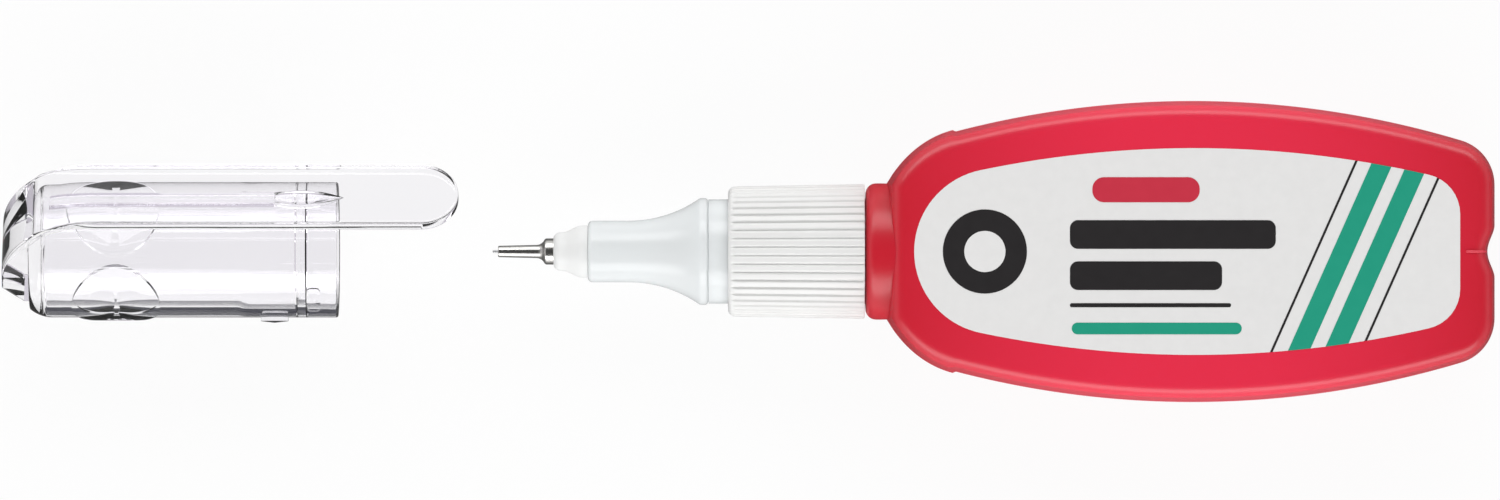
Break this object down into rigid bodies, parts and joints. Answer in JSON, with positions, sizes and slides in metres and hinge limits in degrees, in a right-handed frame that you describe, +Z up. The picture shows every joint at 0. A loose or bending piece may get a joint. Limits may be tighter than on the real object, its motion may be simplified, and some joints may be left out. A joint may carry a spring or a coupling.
{
  "type": "correction pen",
  "caption": "Squeeze correction pen with a flat oval bottle, a ribbed screw collar, a metal needle tip and a separate clear cap with a long pocket clip.",
  "frame": {"origin": "centre of the whole object's box in X and Y, on the surface that the pen's flat back lies on", "axes": "+X along the pen's axis from the writing point to the rear end of the bottle, +Y across the flat face, +Z up out of the printed face"},
  "size_m": [0.1674, 0.0338, 0.0189],
  "materials": {
    "bottle_red": "satin moulded red polyethylene",
    "label_print": "off-white printed film",
    "gasket_foam": "soft pale foam",
    "collar_white": "opaque white moulded plastic",
    "nose_white": "slightly translucent white moulded plastic",
    "holder_white": "white moulded plastic",
    "tip_metal": "turned nickel-plated metal",
    "needle_steel": "drawn wire",
    "valve_white": "moulded acetal",
    "spring_steel": "bright steel",
    "cap_clear": "clear moulded polystyrene with a faint violet tint"
  },
  "bodies": {
    "pen": {"bottle": "bottle_red", "label": "label_print", "neck_gasket": "gasket_foam", "screw_collar": "collar_white", "nose_cone": "nose_white", "tip_holder": "holder_white", "metal_tip": "tip_metal", "valve_spring": "spring_steel", "spring_retainer": "valve_white", "mixing_ball": "spring_steel"},
    "needle_unit": {"needle": "needle_steel", "valve_plunger": "valve_white"},
    "cap": {"cap": "cap_clear"}
  },
  "joints": [
    {"name": "cap_slide", "type": "slide", "parent": "pen", "child": "cap", "axis": [1, 0, 0], "range_m": [0, 0.0437]},
    {"name": "needle_slide", "type": "slide", "parent": "pen", "child": "needle_unit", "axis": [1, 0, 0], "range_m": [0, 0.0005], "stiffness_N_per_m": 200, "deforming": ["valve_spring"]}
  ]
}
